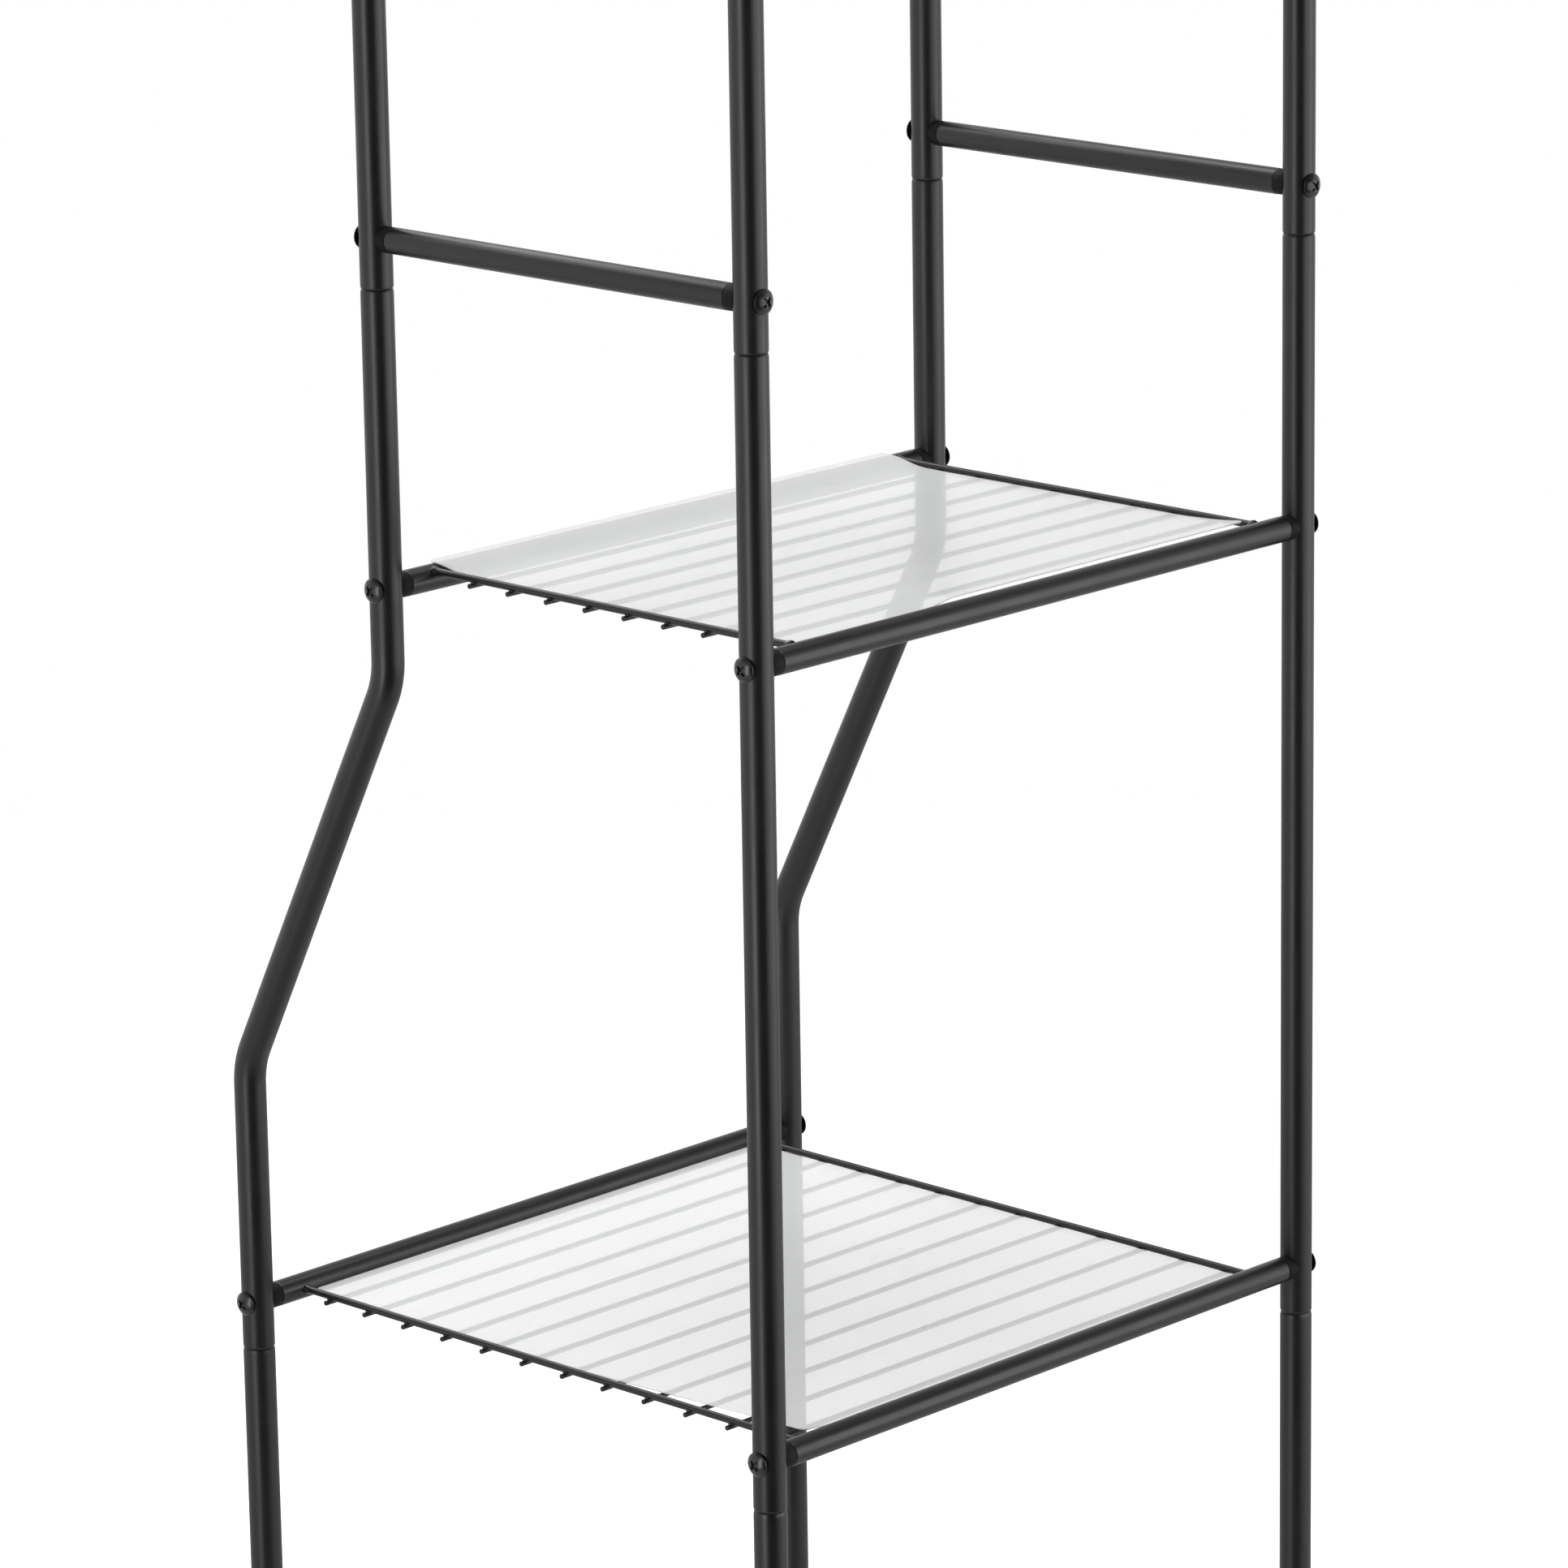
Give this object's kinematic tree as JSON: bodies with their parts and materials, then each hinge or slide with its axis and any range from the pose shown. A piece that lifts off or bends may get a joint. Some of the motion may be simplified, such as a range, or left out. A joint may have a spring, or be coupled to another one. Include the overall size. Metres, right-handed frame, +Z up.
{
  "type": "over-toilet storage rack",
  "caption": "Tall knock-down tube rack that stands over a toilet: wire shelves with frosted liners, straight rear posts, and front posts that bend outwards below the shallower upper shelves.",
  "frame": {"origin": "middle of the floor area, at the height of the floor, under the middle of the whole object's box", "axes": "+Z up; +X to the right when the rack is seen from the front; +Y towards the wall, so the straight posts are at +Y and the bent posts at -Y"},
  "size_m": [0.507, 0.471, 1.791],
  "materials": {
    "tube_coat": "satin black powder coat",
    "wire_coat": "satin black powder coat",
    "black_plastic": "moulded black plastic",
    "foot_plastic": "moulded black plastic",
    "black_screw": "glossy black lacquered steel",
    "frosted_liner": "frosted translucent sheet"
  },
  "bodies": {
    "frame": {"leg_rear_left": "tube_coat", "leg_rear_right": "tube_coat", "leg_front_left": "tube_coat", "leg_front_right": "tube_coat", "post_rear_left": "tube_coat", "post_rear_right": "tube_coat", "post_front_left": "tube_coat", "post_front_right": "tube_coat", "top_post_rear_left": "tube_coat", "top_post_rear_right": "tube_coat", "top_post_front_left": "tube_coat", "top_post_front_right": "tube_coat", "lower_rail_front": "tube_coat", "lower_rail_rear": "tube_coat", "lower_wires": "wire_coat", "upper_rail_front": "tube_coat", "upper_rail_rear": "tube_coat", "upper_wires": "wire_coat", "top_rail_front": "tube_coat", "top_rail_rear": "tube_coat", "top_wires": "wire_coat", "side_bar_left": "tube_coat", "side_bar_right": "tube_coat", "low_side_bar_left": "tube_coat", "low_side_bar_right": "tube_coat", "low_rear_bar": "tube_coat", "lower_rail_plugs": "black_plastic", "upper_rail_plugs": "black_plastic", "top_rail_plugs": "black_plastic", "side_bar_plugs": "black_plastic", "low_bar_plugs": "black_plastic", "lower_rail_screws": "black_screw", "upper_rail_screws": "black_screw", "top_rail_screws": "black_screw", "side_bar_screws": "black_screw", "low_bar_screws": "black_screw", "top_cap_rear_left": "black_plastic", "top_cap_rear_right": "black_plastic", "top_cap_front_left": "black_plastic", "top_cap_front_right": "black_plastic", "foot_socket_rear_left": "black_plastic", "foot_socket_rear_right": "black_plastic", "foot_socket_front_left": "black_plastic", "foot_socket_front_right": "black_plastic"},
    "lower_liner_sheet": {"lower_liner": "frosted_liner"},
    "upper_liner_sheet": {"upper_liner": "frosted_liner"},
    "top_liner_sheet": {"top_liner": "frosted_liner"},
    "rear_left_foot": {"foot_rear_left": "foot_plastic"},
    "rear_right_foot": {"foot_rear_right": "foot_plastic"},
    "front_left_foot": {"foot_front_left": "foot_plastic"},
    "front_right_foot": {"foot_front_right": "foot_plastic"}
  },
  "joints": [
    {"name": "lower_liner_lift", "type": "slide", "parent": "frame", "child": "lower_liner_sheet", "axis": [0, 0, 1], "range_m": [0, 0.15]},
    {"name": "upper_liner_lift", "type": "slide", "parent": "frame", "child": "upper_liner_sheet", "axis": [0, 0, 1], "range_m": [0, 0.15]},
    {"name": "top_liner_lift", "type": "slide", "parent": "frame", "child": "top_liner_sheet", "axis": [0, 0, 1], "range_m": [0, 0.15]},
    {"name": "foot_rear_left_screw", "type": "slide", "parent": "frame", "child": "rear_left_foot", "axis": [0, 0, -1], "range_m": [0, 0.01]},
    {"name": "foot_rear_right_screw", "type": "slide", "parent": "frame", "child": "rear_right_foot", "axis": [0, 0, -1], "range_m": [0, 0.01]},
    {"name": "foot_front_left_screw", "type": "slide", "parent": "frame", "child": "front_left_foot", "axis": [0, 0, -1], "range_m": [0, 0.01]},
    {"name": "foot_front_right_screw", "type": "slide", "parent": "frame", "child": "front_right_foot", "axis": [0, 0, -1], "range_m": [0, 0.01]}
  ]
}
